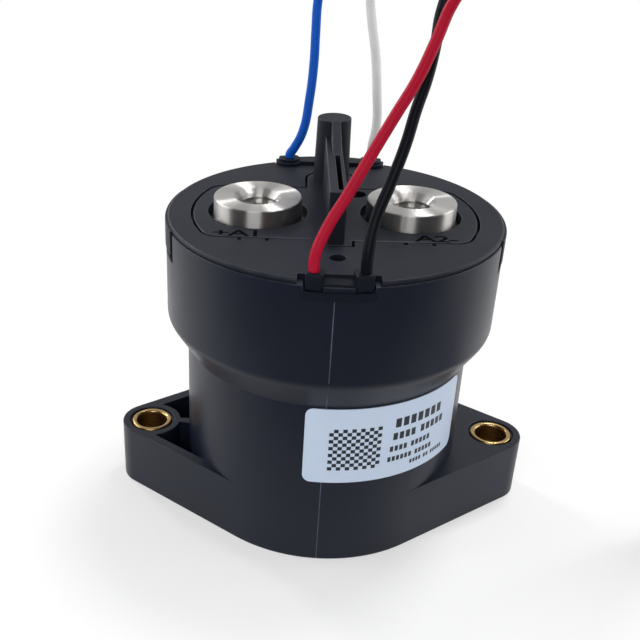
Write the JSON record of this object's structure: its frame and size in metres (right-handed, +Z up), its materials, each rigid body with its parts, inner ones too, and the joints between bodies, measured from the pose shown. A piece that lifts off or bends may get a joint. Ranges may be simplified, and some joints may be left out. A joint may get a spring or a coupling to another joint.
{
  "type": "high voltage dc contactor",
  "caption": "Sealed DC contactor: black round housing on a two-ear base, two tapped terminals parted by a barrier wall and post, and flying coil and auxiliary leads.",
  "frame": {"origin": "middle of the base, on the mounting plane", "axes": "+Z up out of the terminals, +X along the mounting ears towards terminal A2, -Y towards the coil leads"},
  "size_m": [0.1501, 0.0825, 0.124],
  "materials": {
    "black_moulding": "satin moulded",
    "cap_moulding": "fine grained moulded",
    "plated_terminal": "turned and plated",
    "brass": "turned",
    "grommet_rubber": "matt",
    "label_film": "satin film",
    "potting_resin": "cast",
    "copper": "bright",
    "ceramic": "matt",
    "magnet": "sintered",
    "soft_iron": "turned",
    "bobbin_plastic": "moulded",
    "steel": "drawn",
    "inner_plastic": "moulded",
    "board_green": "coated",
    "button_red": "moulded",
    "silver": "polished",
    "lead_red": "extruded insulation",
    "lead_black": "extruded insulation",
    "lead_white": "extruded insulation",
    "lead_blue": "extruded insulation",
    "coiled_leads": "four coiled leads",
    "tie_nylon": "moulded"
  },
  "bodies": {
    "root": {"housing": "black_moulding", "cap": "cap_moulding", "terminal_insulator": "cap_moulding", "terminal_a1": "plated_terminal", "terminal_a2": "plated_terminal", "left_limiter": "brass", "right_limiter": "brass", "coil_lead_grommet": "grommet_rubber", "aux_lead_grommet": "grommet_rubber", "plunger_stop": "grommet_rubber", "rating_label": "label_film", "potting": "potting_resin", "evacuation_tube": "copper", "coil_winding": "copper", "arc_chamber": "ceramic", "front_magnet": "magnet", "rear_magnet": "magnet", "magnet_keeper": "soft_iron", "pole_plate": "soft_iron", "yoke_cup": "soft_iron", "fixed_core": "soft_iron", "coil_bobbin": "bobbin_plastic", "plunger_sleeve": "steel", "return_spring": "steel", "base_spacer": "inner_plastic", "board_parts": "inner_plastic", "aux_switch": "inner_plastic", "control_board": "board_green", "red_lead": "lead_red", "black_lead": "lead_black", "white_lead": "lead_white", "blue_lead": "lead_blue", "lead_coil": "coiled_leads", "coil_tie": "tie_nylon"},
    "plunger": {"plunger": "soft_iron", "plunger_shaft": "steel", "spring_seat": "steel", "shaft_bush": "bobbin_plastic", "bridge_retainer": "steel", "contact_spring": "steel"},
    "bridge": {"contact_bridge": "copper", "contact_tips": "silver"},
    "switch_button": {"aux_switch_button": "button_red"}
  },
  "joints": [
    {"name": "plunger_slide", "type": "slide", "parent": "root", "child": "plunger", "axis": [0, 0, 1], "range_m": [0, 0.002], "stiffness_N_per_m": 900, "springref_m": -0.004, "deforming": ["return_spring"]},
    {"name": "bridge_slide", "type": "slide", "parent": "plunger", "child": "bridge", "axis": [0, 0, 1], "range_m": [-0.00062, 0], "deforming": ["contact_spring"]},
    {"name": "button_slide", "type": "slide", "parent": "root", "child": "switch_button", "axis": [0, 0, 1], "range_m": [0, 0.001]}
  ],
  "couplings": [
    {"joint": "bridge_slide", "follows": "plunger_slide", "ratio": -0.31},
    {"joint": "button_slide", "follows": "plunger_slide", "ratio": 0.5}
  ]
}
